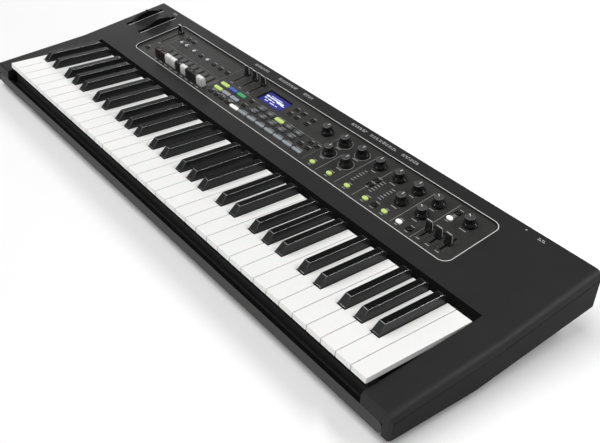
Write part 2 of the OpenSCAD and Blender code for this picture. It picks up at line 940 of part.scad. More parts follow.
color(ink) black_group(21, 34);  // keys_upper_black
color(steel) buttons(part_buttons);  // part_select_buttons
color(steel) buttons(concat(voice_buttons_a, voice_buttons_b, voice_buttons_c));  // voice_buttons
color(steel) buttons(effect_buttons_v);  // effect_buttons
color(ink) buttons(menu_buttons_v);  // menu_buttons
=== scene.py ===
import json
import math
import random
from typing import NamedTuple

import bmesh
import bpy
import numpy as np
from mathutils import Matrix, Vector


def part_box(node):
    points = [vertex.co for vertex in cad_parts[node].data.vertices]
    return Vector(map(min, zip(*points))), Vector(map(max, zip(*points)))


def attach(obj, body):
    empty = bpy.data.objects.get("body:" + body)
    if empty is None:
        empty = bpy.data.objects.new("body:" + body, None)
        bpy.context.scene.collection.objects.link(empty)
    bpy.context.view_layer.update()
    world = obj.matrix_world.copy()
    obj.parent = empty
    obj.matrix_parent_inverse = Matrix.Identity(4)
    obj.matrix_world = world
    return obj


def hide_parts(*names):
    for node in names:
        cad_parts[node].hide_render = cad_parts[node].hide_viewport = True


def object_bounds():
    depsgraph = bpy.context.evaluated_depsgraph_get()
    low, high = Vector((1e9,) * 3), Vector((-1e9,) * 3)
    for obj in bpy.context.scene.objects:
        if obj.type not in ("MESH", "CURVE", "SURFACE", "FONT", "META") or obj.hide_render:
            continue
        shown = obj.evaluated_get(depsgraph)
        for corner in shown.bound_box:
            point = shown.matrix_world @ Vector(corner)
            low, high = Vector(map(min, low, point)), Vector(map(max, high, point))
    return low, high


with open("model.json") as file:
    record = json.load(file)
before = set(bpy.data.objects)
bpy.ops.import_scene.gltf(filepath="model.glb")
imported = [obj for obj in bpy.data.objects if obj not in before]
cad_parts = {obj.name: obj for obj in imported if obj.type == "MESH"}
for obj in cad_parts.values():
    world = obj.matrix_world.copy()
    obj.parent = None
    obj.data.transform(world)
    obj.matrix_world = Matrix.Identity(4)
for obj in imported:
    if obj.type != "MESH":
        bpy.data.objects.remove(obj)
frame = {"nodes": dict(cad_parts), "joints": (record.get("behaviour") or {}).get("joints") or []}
CAD_LO, CAD_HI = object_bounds()
NODES = frame["nodes"]
JOINTS = {j["name"]: j for j in frame["joints"]}
MM = 0.001
RNG = random.Random(7)

# ---------- panel frame, taken from the joints ----------

# out of the panel, up the panel to the rear, to the right, and a point on the panel
N = Vector(JOINTS["knob_1_turn"]["axis"]).normalized()
S = Vector(JOINTS["slider_volume_travel"]["axis"]).normalized()
X = Vector((1, 0, 0))
O = Vector(JOINTS["knob_1_turn"]["pos_m"])
HALF_D = CAD_HI.y
# height of the control panel, which lies under the top skin, in millimetres
RECESS = -2.4


def on(x, d, h=0.0):
    """Point on the top panel, in metres: x, distance from the front edge and height, all in millimetres."""
    y = d * MM - HALF_D
    p = Vector((x * MM, y, O.z - (y - O.y) * N.y / N.z))
    return p + N * (h * MM)


def panel_matrix(x, d, h=0.0, turn=0.0):
    """Frame at a point on the panel: x to the right, y up the panel and z out of it, turned about z."""
    m = Matrix((X, S, N)).transposed().to_4x4()
    m.translation = on(x, d, h)
    return m @ Matrix.Rotation(turn, 4, "Z")


def to_panel(p):
    """x, distance from the front and height above the panel, in millimetres, of a point."""
    h = (p - O).dot(N)
    q = p - N * h
    return q.x / MM, (q.y + HALF_D) / MM, h / MM


# ---------- materials ----------

BROAD_SCALE = 14.0
BUMP_DEPTH = 0.0004
COAT_ROUGH = 0.08
SCATTER_DEPTH = 0.002
# how far a corner stands out, from where wear begins to where it is full
WEAR_FROM, WEAR_FULL = 0.52, 0.66


def shader_node(nt, kind, inputs=None):
    """A new shader node with some of its inputs set."""
    node = nt.nodes.new("ShaderNode" + kind)
    for socket, value in (inputs or {}).items():
        node.inputs[socket].default_value = value
    return node


def scaled(color, factor, add=0.0):
    """A colour made lighter or darker, with its alpha."""
    return (*[min(1, c * factor + add) for c in color], 1)


def worn(nt, color, base, patches, wear):
    """Lightens the corners that stand out, in patches."""
    geometry = shader_node(nt, "NewGeometry")
    ramp = shader_node(nt, "MapRange", {"From Min": WEAR_FROM, "From Max": WEAR_FULL, "To Max": wear})
    nt.links.new(geometry.outputs["Pointiness"], ramp.inputs["Value"])
    patch = shader_node(nt, "Math")
    patch.operation = "MULTIPLY"
    nt.links.new(ramp.outputs["Result"], patch.inputs[0])
    nt.links.new(patches, patch.inputs[1])
    mix = shader_node(nt, "MixRGB", {"Color2": scaled(color, 1.6, 0.05)})
    nt.links.new(patch.outputs["Value"], mix.inputs["Fac"])
    nt.links.new(base, mix.inputs["Color1"])
    return mix.outputs["Color"]


def material(
    name,
    color,
    rough=0.5,
    grain=900.0,
    bump=0.15,
    vary=0.12,
    rough_vary=0.08,
    metallic=0.0,
    coat=0.0,
    specular=0.5,
    subsurface=0.0,
    alpha=1.0,
    emission=None,
    strength=0.0,
    wear=0.0,
):
    """A procedural material: broad noise varies colour and roughness, and a fine grain drives the bump."""
    m = bpy.data.materials.new(name)
    m.use_nodes = True
    nt = m.node_tree
    shader = nt.nodes["Principled BSDF"]
    place = shader_node(nt, "TexCoord").outputs["Object"]
    fine = shader_node(nt, "TexNoise", {"Scale": grain, "Detail": 3.0, "Roughness": 0.6})
    broad = shader_node(nt, "TexNoise", {"Scale": BROAD_SCALE, "Detail": 4.0})
    for noise in (fine, broad):
        nt.links.new(place, noise.inputs["Vector"])

    shade = shader_node(nt, "MixRGB", {"Color1": scaled(color, 1 - vary), "Color2": scaled(color, 1 + vary)})
    nt.links.new(broad.outputs["Fac"], shade.inputs["Fac"])
    speck = shader_node(nt, "MixRGB", {"Fac": min(1.0, vary * 1.5)})
    speck.blend_type = "OVERLAY"
    nt.links.new(shade.outputs["Color"], speck.inputs["Color1"])
    nt.links.new(fine.outputs["Fac"], speck.inputs["Color2"])
    final = speck.outputs["Color"]
    if wear > 0:
        final = worn(nt, color, final, broad.outputs["Fac"], wear)
    nt.links.new(final, shader.inputs["Base Color"])

    gloss = shader_node(
        nt, "MapRange", {"To Min": max(0.02, rough - rough_vary), "To Max": min(1.0, rough + rough_vary)}
    )
    nt.links.new(broad.outputs["Fac"], gloss.inputs["Value"])
    nt.links.new(gloss.outputs["Result"], shader.inputs["Roughness"])
    if bump > 0:
        relief = shader_node(nt, "Bump", {"Strength": bump, "Distance": BUMP_DEPTH})
        nt.links.new(fine.outputs["Fac"], relief.inputs["Height"])
        nt.links.new(relief.outputs["Normal"], shader.inputs["Normal"])

    for socket, value in (
        ("Metallic", metallic),
        ("Coat Weight", coat),
        ("Coat Roughness", COAT_ROUGH),
        ("Specular IOR Level", specular),
        ("Subsurface Weight", subsurface),
        ("Subsurface Scale", SCATTER_DEPTH),
        ("Alpha", alpha),
    ):
        shader.inputs[socket].default_value = value
    if emission:
        shader.inputs["Emission Color"].default_value = (*emission, 1)
        shader.inputs["Emission Strength"].default_value = strength
    return m


# grain and gloss that a family of parts shares
MOULDED = {"grain": 1500}
PRINT = {"grain": 2500, "bump": 0.05}
MOULDED_CAP = {"grain": 1600, "bump": 0.05}
BUTTON = {"rough": 0.35, "grain": 1800, "bump": 0.04}

CASE = material("case_plastic", (0.0125, 0.0125, 0.0127), rough=0.52, bump=0.2, specular=0.22, **MOULDED)
SIDE = material("rail_plastic", (0.034, 0.0335, 0.033), rough=0.5, bump=0.25, specular=0.35, **MOULDED)
# darker, duller copy of the case plastic on the two end faces: painted shade
END_SHADE = material("end_face_painted_shade", (0.0095, 0.0095, 0.0096), rough=0.6, bump=0.2, specular=0.1, **MOULDED)
# near-black plastic on the fallboard behind the keys and in the gap under them: painted shade
PAINTED_SHADE = material("painted_shade_plastic", (0.003, 0.003, 0.0031), rough=0.7, bump=0.2, specular=0.05, **MOULDED)
PANEL = material(
    "panel_plastic", (0.0235, 0.0228, 0.022), rough=0.46, grain=700, bump=0.14, vary=0.4, specular=0.3
)
GLOSS = material(
    "gloss_black",
    (0.004, 0.004, 0.0042),
    rough=0.14,
    grain=2500,
    bump=0.02,
    coat=0.5,
    wear=0.1,
    rough_vary=0.03,
)
# the top face of a knob, lighter than its black body: painted sheen
KNOB_TOP_SHEEN = material("knob_top_painted_sheen", (0.05, 0.05, 0.051), rough=0.35, grain=2500, bump=0.03)
LEVER = material("lever_black", (0.004, 0.004, 0.0042), rough=0.45, grain=1800, bump=0.06, specular=0.12)
WHITE = material(
    "white_key", (0.77, 0.77, 0.76), rough=0.34, grain=1200, bump=0.04, vary=0.015, subsurface=0.05, wear=0.1
)
BLACK = material("black_key", (0.0035, 0.0035, 0.0037), rough=0.4, grain=2200, bump=0.06, specular=0.1)
# the sides and front of a black key, lighter and glossier than its top: painted reflection of the white keys
BLACK_SIDE_SHEEN = material(
    "black_key_side_painted_sheen", (0.0105, 0.0105, 0.011), rough=0.3, grain=2200, bump=0.02, specular=0.3
)
# the rolled edges of a black key, much lighter than its top: painted highlight lines
BLACK_EDGE_GLINT = material(
    "black_key_edge_painted_highlight", (0.04, 0.04, 0.041), rough=0.15, grain=2200, bump=0.03, specular=0.8, coat=1.0
)
CAP_WHITE = material("cap_white", (0.7, 0.7, 0.69), rough=0.36, vary=0.02, **MOULDED_CAP)
CAP_BROWN = material("cap_brown", (0.011, 0.0055, 0.0045), rough=0.32, wear=0.2, **MOULDED_CAP)
CAP_BLACK = material("cap_black", (0.01, 0.01, 0.011), rough=0.3, wear=0.3, **MOULDED_CAP)
LINE = material("print_line", (0.62, 0.62, 0.61), rough=0.45, vary=0.04, **PRINT)
MARK = material("print_mark", (0.3, 0.3, 0.3), rough=0.5, vary=0.06, **PRINT)
RULE = material("print_rule", (0.2, 0.2, 0.2), rough=0.5, vary=0.06, **PRINT)
DIM = material("print_dim", (0.12, 0.12, 0.122), rough=0.5, vary=0.06, **PRINT)
POINTER = material("pointer_white", (0.62, 0.62, 0.61), rough=0.4, grain=2500, bump=0.03, vary=0.02)
HANDLE_LINE = material("handle_line", (0.4, 0.4, 0.4), rough=0.35, grain=2500, bump=0.03, vary=0.04)
BTN_SMOKE = material(
    "button_smoke", (0.045, 0.047, 0.05), rough=0.38, grain=1800, bump=0.04, vary=0.05, subsurface=0.1
)
BTN_SILVER = material("button_silver", (0.27, 0.28, 0.31), vary=0.05, subsurface=0.1, **BUTTON)
BTN_PALE = material("button_pale", (0.25, 0.285, 0.3), vary=0.05, subsurface=0.1, **BUTTON)
BTN_DARK = material("button_dark", (0.005, 0.005, 0.0055), rough=0.22, grain=1800, bump=0.04, wear=0.2)
BTN_LIME = material(
    "button_lit_lime", (0.4, 0.5, 0.15), vary=0.05, emission=(0.5, 0.68, 0.18), strength=0.2, **BUTTON
)
BTN_WHITE = material(
    "button_lit_white", (0.9, 0.9, 0.88), vary=0.02, emission=(1, 1, 0.97), strength=0.2, **BUTTON
)
BTN_BLUE = material(
    "button_lit_blue", (0.05, 0.09, 0.3), vary=0.05, emission=(0.05, 0.1, 0.7), strength=0.12, **BUTTON
)
BTN_GREEN = material(
    "button_lit_green", (0.04, 0.25, 0.1), vary=0.05, emission=(0.05, 0.4, 0.15), strength=0.15, **BUTTON
)
BTN_ICE = material("button_lit_ice", (0.42, 0.44, 0.47), vary=0.03, **BUTTON)
LCD = material(
    "lcd_back",
    (0.02, 0.02, 0.12),
    rough=0.4,
    grain=3000,
    bump=0.02,
    vary=0.08,
    emission=(0.045, 0.04, 0.55),
    strength=0.4,
)
LCD_ON = material(
    "lcd_block",
    (0.75, 0.8, 1.0),
    rough=0.4,
    grain=3000,
    bump=0.02,
    vary=0.03,
    emission=(0.75, 0.82, 1.0),
    strength=0.7,
)
GLASS = material(
    "window_clear",
    (0.01, 0.01, 0.03),
    rough=0.1,
    grain=600,
    bump=0.0,
    vary=0.02,
    rough_vary=0.02,
    alpha=0.12,
    specular=0.3,
)
METAL = material("plated_steel", (0.5, 0.5, 0.51), rough=0.28, bump=0.06, metallic=1.0, vary=0.06)
NICKEL = material("socket_metal", (0.3, 0.3, 0.31), rough=0.3, bump=0.06, metallic=1.0, vary=0.08)
SOCKET = material("socket_black", (0.014, 0.014, 0.015), rough=0.4, bump=0.1, **MOULDED)
PCB = material("solder_mask", (0.015, 0.1, 0.045), rough=0.35, grain=700, bump=0.08, vary=0.2)
RUBBER = material("rubber", (0.014, 0.014, 0.014), rough=0.8, grain=1300, bump=0.35)
FELT = material("felt", (0.006, 0.006, 0.0065), rough=0.95, grain=2600, bump=0.8, vary=0.3)
VOID = material("inner_black", (0.006, 0.006, 0.0065), rough=0.6)

# ---------- mesh helpers ----------

WELD = 2e-6
CAD_WELD = 3e-6
FLAT_ANGLE = math.radians(0.6)
SMOOTH_ANGLE = math.radians(32)
# least corner radius of an outline, in millimetres
TINY = 1e-4
# steps of a cap's rolled edge, and the share of a cap's width that stays level round its dish
ROLL_STEPS = 3
DISH_RIM = 0.18


def finish_mesh(name, bm, mats, body, node=None, weld=False):
    """Makes an object of a mesh, which rides on a body and may take the place of a CAD node."""
    if weld:
        bmesh.ops.remove_doubles(bm, verts=bm.verts, dist=WELD)
    bmesh.ops.recalc_face_normals(bm, faces=bm.faces)
    me = bpy.data.meshes.new(name)
    bm.to_mesh(me)
    bm.free()
    for m in mats:
        me.materials.append(m)
    me.polygons.foreach_set("use_smooth", [True] * len(me.polygons))
    me.set_sharp_from_angle(angle=SMOOTH_ANGLE)
    ob = bpy.data.objects.new(name, me)
    bpy.context.scene.collection.objects.link(ob)
    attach(ob, body)
    if node:
        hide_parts(node)
    return ob


def outline(w, l, r, k):
    """Points of a rounded rectangle, counter-clockwise, with k steps round each corner."""
    r = max(TINY, min(r, w / 2 - TINY, l / 2 - TINY))
    pts = []
    for i, (sx, sy) in enumerate(((1, 1), (-1, 1), (-1, -1), (1, -1))):
        for j in range(k + 1):
            a = math.pi / 2 * (i + j / k)
            pts.append((sx * (w / 2 - r) + r * math.cos(a), sy * (l / 2 - r) + r * math.sin(a)))
    return pts


def circle(r, z, n):
    """Points of a level circle."""
    angles = [2 * math.pi * i / n for i in range(n)]
    return [(r * math.cos(a), r * math.sin(a), z) for a in angles]


def loft(bm, rings, matrix, mat=0):
    """Joins rings of points (millimetres) into a closed skin."""
    loops = [[bm.verts.new(matrix @ (Vector(p) * MM)) for p in ring] for ring in rings]
    n = len(loops[0])
    for a, b in zip(loops, loops[1:]):
        for i in range(n):
            f = bm.faces.new((a[i], a[(i + 1) % n], b[(i + 1) % n], b[i]))
            f.material_index = mat
    bm.faces.new(list(reversed(loops[0]))).material_index = mat
    bm.faces.new(loops[-1]).material_index = mat


def cap(bm, w, l, h0, h1, r, roll, matrix, mat=0, dish=0.0, k=5):
    """A button or cap: rounded-rectangle walls, a rolled top edge and a dished or crowned top."""
    rings = [[(x, y, h) for x, y in outline(w, l, r, k)] for h in (h0, h1 - roll)]
    for j in range(1, ROLL_STEPS + 1):
        a = math.pi / 2 * j / ROLL_STEPS
        inset = roll * (1 - math.cos(a))
        z = h1 - roll + roll * math.sin(a)
        rings.append([(x, y, z) for x, y in outline(w - 2 * inset, l - 2 * inset, r - inset, k)])
    inset = roll + min(w, l) * DISH_RIM
    middle = outline(w - 2 * inset, l - 2 * inset, max(0.1, r - inset), k)
    rings.append([(x, y, h1 - dish) for x, y in middle])
    loft(bm, rings, matrix, mat)


def slab(bm, x0, x1, d0, d1, h0, h1, mat=0, r=0.15, turn=0.0):
    """A thin raised strip on the panel, with a small chamfer round its top."""
    m = panel_matrix((x0 + x1) / 2, (d0 + d1) / 2, 0, turn)
    w, l = abs(x1 - x0), abs(d1 - d0)
    chamfer = min(0.04, (h1 - h0) / 2)
    rings = [
        [(x, y, h) for x, y in outline(w - less, l - less, r, 2)]
        for h, less in ((h0, 0), (h1 - chamfer, 0), (h1, 2 * chamfer))
    ]
    loft(bm, rings, m, mat)


def islands(node):
    """The corner points of each separate solid of a CAD node."""
    bm = bmesh.new()
    bm.from_mesh(NODES[node].data)
    bmesh.ops.remove_doubles(bm, verts=bm.verts, dist=WELD)
    seen, out = set(), []
    for v in bm.verts:
        if v.index in seen:
            continue
        stack, group = [v], []
        seen.add(v.index)
        while stack:
            a = stack.pop()
            group.append(a.co.copy())
            for e in a.link_edges:
                b = e.other_vert(a)
                if b.index not in seen:
                    seen.add(b.index)
                    stack.append(b)
        out.append(group)
    bm.free()
    return out


class PanelBox(NamedTuple):
    """A solid's middle, width and length on the panel, and its lowest and highest height, in millimetres."""

    x: float
    d: float
    w: float
    l: float
    low: float
    top: float


def panel_boxes(node, floor_h=-math.inf):
    """The part above a height of each solid of a node, in rows from the front, each from left to right."""
    out = []
    for group in islands(node):
        p = np.array([to_panel(v) for v in group])
        p = p[p[:, 2] > floor_h]
        lo, hi = p.min(0), p.max(0)
        middle = (lo[0] + hi[0]) / 2, (lo[1] + hi[1]) / 2
        out.append(PanelBox(*middle, hi[0] - lo[0], (hi[1] - lo[1]) / S.y, lo[2], hi[2]))
    return sorted(out, key=lambda b: (round(b.d), b.x))


def bevelled(name, node, mats, body, width=0.5, segments=3, angle=28, pick=None, edge=-1, keep=None):
    """The CAD solid with its edges rolled, as a finished mesh.

    pick(face) gives the material number of a face, edge is that of the rolled edges, and keep(edge) limits
    which edges are rolled.
    """
    bm = bmesh.new()
    bm.from_mesh(NODES[node].data)
    bmesh.ops.remove_doubles(bm, verts=bm.verts, dist=CAD_WELD)
    bmesh.ops.dissolve_limit(
        bm, angle_limit=FLAT_ANGLE, use_dissolve_boundaries=False, verts=bm.verts, edges=bm.edges
    )
    bm.normal_update()
    for f in bm.faces:
        f.material_index = pick(f) if pick else 0
    if keep:
        weight = bm.edges.layers.float.new("bevel_weight_edge")
        for e in bm.edges:
            e[weight] = 1.0 if keep(e) and e.calc_face_angle(0.0) > math.radians(angle) else 0.0
    ob = finish_mesh(name, bm, mats, body, node)
    mod = ob.modifiers.new("edges", "BEVEL")
    mod.width = width * MM
    mod.segments = segments
    mod.limit_method = "WEIGHT" if keep else "ANGLE"
    mod.angle_limit = math.radians(angle)
    mod.harden_normals = False
    mod.use_clamp_overlap = True
    mod.miter_outer = "MITER_ARC"
    mod.material = edge
    # large faces keep their own normals, so the narrow rolled edges catch the light
    flat = ob.modifiers.new("normals", "WEIGHTED_NORMAL")
    flat.weight = 100
    flat.keep_sharp = True
    bpy.context.view_layer.update()
    me = bpy.data.meshes.new_from_object(ob.evaluated_get(bpy.context.evaluated_depsgraph_get()))
    ob.modifiers.clear()
    ob.data = me


def paint(node, mat):
    """Gives a CAD node that keeps its own shape a material."""
    ob = NODES[node]
    ob.data.materials.clear()
    ob.data.materials.append(mat)


# ---------- inner CAD parts keep their shape ----------

for node, mat in (
    ("circuit_boards", PCB),
    ("knob_pots", METAL),
    ("slider_tracks", METAL),
    ("keybed_frame", VOID),
    ("key_felt", FELT),
    ("lever_housing", VOID),
):
    paint(node, mat)

# ---------- case ----------


def case_pick(f):
    """The two end faces get a darker copy of the case plastic, and the fallboard behind the keys a
    near-black one, both as painted shade.
    """
    c, n = f.calc_center_median(), f.normal
    if abs(n.x) > 0.95 and abs(c.x) > CAD_HI.x - 2 * MM:
        return 1
    if n.y < -0.3 and 4 * MM < c.y < 18 * MM and c.z > 45 * MM:
        return 2
    return 0


def rail_pick(f):
    """The upper and inner faces of the front rail, in the gap under the keys, get the near-black plastic as
    painted shade.
    """
    c, n = f.calc_center_median(), f.normal
    return 1 if c.y < -100 * MM and n.y > -0.75 and n.z > -0.1 and c.z > 12 * MM else 0


bevelled("case_top", "upper_case", [CASE, END_SHADE, PAINTED_SHADE], "body", width=0.6, pick=case_pick)
bevelled("case_bottom", "lower_case", [SIDE, PAINTED_SHADE], "body", pick=rail_pick)
paint("control_panel", PANEL)
bevelled("bottom_screws", "case_screws", [METAL], "body", width=0.2, segments=2)

# ---------- feet ----------

FOOT_SIDES = 48


def foot_profile(h):
    """Radius and height: the well in the underside, the flat sole, the ribbed wall and the top at h."""
    well = [(3.6, 3.0), (4.0, 2.2), (4.0, 0.5), (4.6, 0.0)]
    sole = [(9.6, 0.0), (10.3, 0.35), (10.6, 1.0), (10.8, 3.0)]
    rib = [(10.5, 3.4), (10.8, 3.8), (11.1, 6.0), (10.8, 6.4), (11.1, 6.8)]
    return well + sole + rib + [(11.6, h - 0.8), (11.9, h)]


def feet():
    bm = bmesh.new()
    for group in islands("rubber_feet"):
        p = np.array([list(v) for v in group])
        lo, hi = p.min(0), p.max(0)
        m = Matrix.Translation(((lo[0] + hi[0]) / 2, (lo[1] + hi[1]) / 2, 0))
        loft(bm, [circle(r, z, FOOT_SIDES) for r, z in foot_profile(hi[2] / MM)], m)
    finish_mesh("foot_pads", bm, [RUBBER], "body", "rubber_feet", weld=True)


feet()

# ---------- keys ----------

# the ribs and bores of the keys are lower and farther back than this
PLAYING_Z, PLAYING_Y = 46.5 * MM, 1.5 * MM


def key_pick(f):
    """The sides and front of a black key get a lighter, glossier copy of its plastic, as painted reflection.
    """
    return 2 if abs(f.normal.x) > 0.6 or f.normal.y < -0.6 else 0


def key_edge(e):
    """The edges of the playing surface, not the ribs and bores hidden under the panel."""
    return all(v.co.z > PLAYING_Z and v.co.y < PLAYING_Y for v in e.verts)


def keys(node):
    if node.endswith(("_sharp", "_black")):
        # the rolled edges of a black key get a painted highlight, its sides and front a painted reflection
        look = {"mats": [BLACK, BLACK_EDGE_GLINT, BLACK_SIDE_SHEEN], "edge": 1, "pick": key_pick, "angle": 20}
    else:
        look = {"mats": [WHITE], "width": 0.45, "angle": 30}
    bevelled(node + ".cover", node, body=node, keep=key_edge, **look)


for node in [n for n in NODES if n.startswith(("key_", "keys_")) and n != "key_felt"]:
    keys(node)

# ---------- knobs ----------

KNOB_SIDES = 96
FLUTES = 24
FLUTE_DEPTH = 0.34
SHAFT_R = 2.98
KNOBS = [n for n in NODES if n.startswith("knob_") and n != "knob_pots"]


def knob_profile(top):
    """Radius, height and share of the flute depth: a bell-shaped skirt, a fluted grip and a dished top."""
    skirt = [(8.8, 0.5, 0), (9.25, 0.65, 0), (9.4, 1.1, 0), (9.4, 3.2, 0), (9.3, 3.8, 0), (9.05, 4.4, 0)]
    waist = [(8.6, 5.0, 0), (8.05, 5.6, 0), (7.7, 6.1, 0.1), (7.5, 6.8, 0.6)]
    grip = [(7.3, 8.0, 1), (6.95, top - 1.4, 1), (6.85, top - 0.8, 0.7), (6.6, top - 0.35, 0.2)]
    face = [(6.2, top - 0.12, 0), (5.6, top - 0.02, 0), (3.6, top - 0.1, 0), (1.6, top - 0.14, 0)]
    return skirt + waist + grip + face


def fluted_ring(r, z, share):
    ring = []
    for i in range(KNOB_SIDES):
        a = 2 * math.pi * i / KNOB_SIDES
        ripple = 0.5 - 0.5 * math.cos(FLUTES * a)
        rr = r - FLUTE_DEPTH * share * (1 - ripple) ** 2
        ring.append((rr * math.cos(a), rr * math.sin(a), z))
    return ring


def pointer_rings(top):
    """The pointer line: over the top of the cap, then a little way down its side."""
    hw = 0.5
    over = [(0.8, top - 0.2), (3.6, top - 0.14), (5.6, top - 0.04)]
    down = [(6.4, top - 0.45), (6.8, top - 1.3), (6.95, top - 2.2)]
    rings = [[(-hw, y, z - 0.5), (hw, y, z - 0.5), (hw, y, z + 0.06), (-hw, y, z + 0.06)] for y, z in over]
    rings += [[(-hw, y - 0.5, z), (hw, y - 0.5, z), (hw, y + 0.1, z), (-hw, y + 0.1, z)] for y, z in down]
    return rings


def knob(node):
    joint = JOINTS[node + "_turn"]
    x, d, _ = to_panel(Vector(joint["pos_m"]))
    # the range is even about twelve o'clock, so its middle tells how far from there the knob stands
    low, high = joint.get("range_deg", [-150, 150])
    m = panel_matrix(x, d, RECESS, math.radians(-(low + high) / 2))
    top = max(to_panel(v.co)[2] for v in NODES[node].data.vertices) - RECESS
    bm = bmesh.new()
    loft(bm, [fluted_ring(*point) for point in knob_profile(top)], m)
    # the top face gets a lighter plastic than the body, as painted sheen
    for f in bm.faces:
        if to_panel(f.calc_center_median())[2] - RECESS > top - 0.3:
            f.material_index = 3
    loft(bm, pointer_rings(top), m, 1)
    loft(bm, [circle(SHAFT_R, z, KNOB_SIDES // 4) for z in (-9.6, 1.0)], m, 2)
    finish_mesh(node + ".cap", bm, [GLOSS, POINTER, METAL, KNOB_TOP_SHEEN], node, node)


for node in KNOBS:
    knob(node)

# ---------- sliders and drawbars ----------

SLIDERS = [n for n in NODES if n.startswith("slider_") and n != "slider_tracks"]
DRAWBARS = {"drawbars_brown": CAP_BROWN, "drawbars_white": CAP_WHITE, "drawbars_black": CAP_BLACK}
# from and to heights, width and length of the flat wiper under the panel
WIPER = (-8.5, -5.5, 6.0, 5.0)


def stem(bm, matrix, top, mat):
    """The stem that goes down through the slot, and the wiper at its foot."""
    for z0, z1, w, l in ((-7.5, top, 1.4, 5.0), WIPER):
        cap(bm, w, l, z0, z1, 0.3, 0.2, matrix, mat, k=2)


def rounded_rings(levels):
    """Level rounded rectangles from height, half width, half length and corner radius."""
    return [[(x, y, z) for x, y in outline(2 * hx, 2 * hy, r, 4)] for z, hx, hy, r in levels]


def slider(node):
    box = panel_boxes(node, 0.0)[0]
    m = panel_matrix(box.x, box.d, RECESS)
    h = box.top - RECESS
    foot = [(0.6, 4.9, 3.9, 0.6), (0.9, 5.0, 4.0, 0.7), (2.6, 5.0, 3.6, 0.7), (4.2, 4.98, 2.5, 0.6)]
    blade = [(6.0, 4.95, 1.85, 0.5), (9.0, 4.9, 1.55, 0.5), (h - 2.4, 4.85, 1.45, 0.5)]
    tip = [(h - 0.9, 4.8, 1.75, 0.6), (h - 0.35, 4.65, 1.65, 0.55), (h - 0.05, 4.2, 1.3, 0.4)]
    bm = bmesh.new()
    loft(bm, rounded_rings(foot + blade + tip), m)
    # light line over the top and down both ends
    hw = 0.55
    end = [(5.02, 3.4), (4.98, 8.0), (4.93, h - 1.2), (4.6, h - 0.25), (4.0, h)]
    path = [(-x, z) for x, z in end] + end[::-1]
    rings = []
    for x, z in path:
        inner_x, inner_z = x * 0.88, min(z, h - 0.9)
        rings.append([(x, -hw, z), (x, hw, z), (inner_x, hw, inner_z), (inner_x, -hw, inner_z)])
    loft(bm, rings, m, 1)
    stem(bm, m, 2.2, 0)
    finish_mesh(node + ".handle", bm, [GLOSS, HANDLE_LINE], node, node)


def drawbars(node, mat):
    bm = bmesh.new()
    for box in panel_boxes(node, 0.0):
        m = panel_matrix(box.x, box.d, RECESS)
        h = box.top - RECESS
        hx, hy = box.w / 2, box.l / 2
        wall = [(0.6, hx - 0.1, hy - 0.1, 0.5), (0.9, hx, hy, 0.6), (h - 5.0, hx, hy - 0.3, 0.6)]
        shoulder = [(h - 3.0, hx, hy - 0.5, 0.8), (h - 1.5, hx - 0.1, hy - 0.9, 0.9)]
        rim = [(h - 0.6, hx - 0.4, hy - 1.5, 0.9), (h - 0.15, hx - 0.9, hy - 2.2, 0.7)]
        dish = [(h - 0.35, hx - 1.8, hy - 3.0, 0.4)]
        loft(bm, rounded_rings(wall + shoulder + rim + dish), m)
        stem(bm, m, 1.2, 1)
    finish_mesh(node + ".caps", bm, [mat, GLOSS], node, node)


for node in SLIDERS:
    slider(node)
for node, mat in DRAWBARS.items():
    drawbars(node, mat)

# ---------- buttons ----------

# height above which a button's box is measured: its cap, not the stem and flange under the panel
BUTTON_FLOOR = -2.6
# x and distance from the front of the round and the lit buttons
LIT_LIME_X = (86.3, 120.8, 156.3, 191.3, 226.3)
LIT_LIME_D = 222.8
LIT_WHITE = ((252.3, 222.8), (288.8, 273.5))
ROUND_MENU = ((-318.2, 275), (-303.5, 275), (-279, 274), (-239.7, 273.5))
NEAR = 3
# middle of the lit voice button in the rear row
LIT_VOICE_X = -20


def near(box, places):
    return any(abs(box.x - x) < NEAR and abs(box.d - d) < NEAR for x, d in places)


def button_size(box, kind):
    """Width and length of the cap that is seen."""
    if kind == "round":
        side = min(box.w, box.l) + 1.0
        return side, side
    if kind == "small":
        return box.w * 0.94, box.l * 0.94
    if kind == "gapped":
        return box.w - 1.0, box.l - 0.7
    return box.w, box.l


def button_piece(node, mats, style):
    """style(index, box) gives the material number, corner radius and kind of each button."""
    bm = bmesh.new()
    for i, box in enumerate(panel_boxes(node, BUTTON_FLOOR)):
        mat, r, kind = style(i, box)
        m = panel_matrix(box.x, box.d, 0)
        w, l = button_size(box, kind)
        is_round = kind == "round"
        r = w / 2 if is_round else r
        cap(bm, w, l, -4.6, box.top, r, 0.45, m, mat, dish=-0.12 if is_round else 0.12, k=6)
        if kind == "lettered":
            # two lines of lettering, as plain strips in the last material
            for share, shift in ((0.5, 0.9), (0.34, -1.3)):
                half, mid = w * share / 2, box.d + shift
                low, high = box.top - 0.4, box.top - 0.04
                slab(bm, box.x - half, box.x + half, mid - 0.45, mid + 0.45, low, high, len(mats) - 1)
        # stem, and the flange that holds the button under the panel
        cap(bm, 3, 3, -9.2, -4.4, 0.4, 0.2, m, 0, k=2)
        cap(bm, box.w + 1.2, box.l + 1.2, -7.0, -5.6, 0.6, 0.2, m, 0, k=2)
    finish_mesh(node + ".caps", bm, mats, node, node)


def part_style(i, box):
    # front row then rear row, left to right
    return (0, 1, 1, 0, 2, 3)[i], 1.9, "gapped"


def voice_style(i, box):
    if box.l < 6.2:
        return (1 if i == 0 else 2), 1.6, "gapped"
    if box.d > 245:
        return (3, 2.6, "wide") if abs(box.x - LIT_VOICE_X) < 10 else (0, 2.6, "lettered")
    return 0, 2.8, "lettered"


def effect_style(i, box):
    if near(box, [(x, LIT_LIME_D) for x in LIT_LIME_X]):
        return 0, 3.0, "wide"
    if near(box, LIT_WHITE):
        return 1, 3.0, "wide"
    return 2, 3.0, "small"


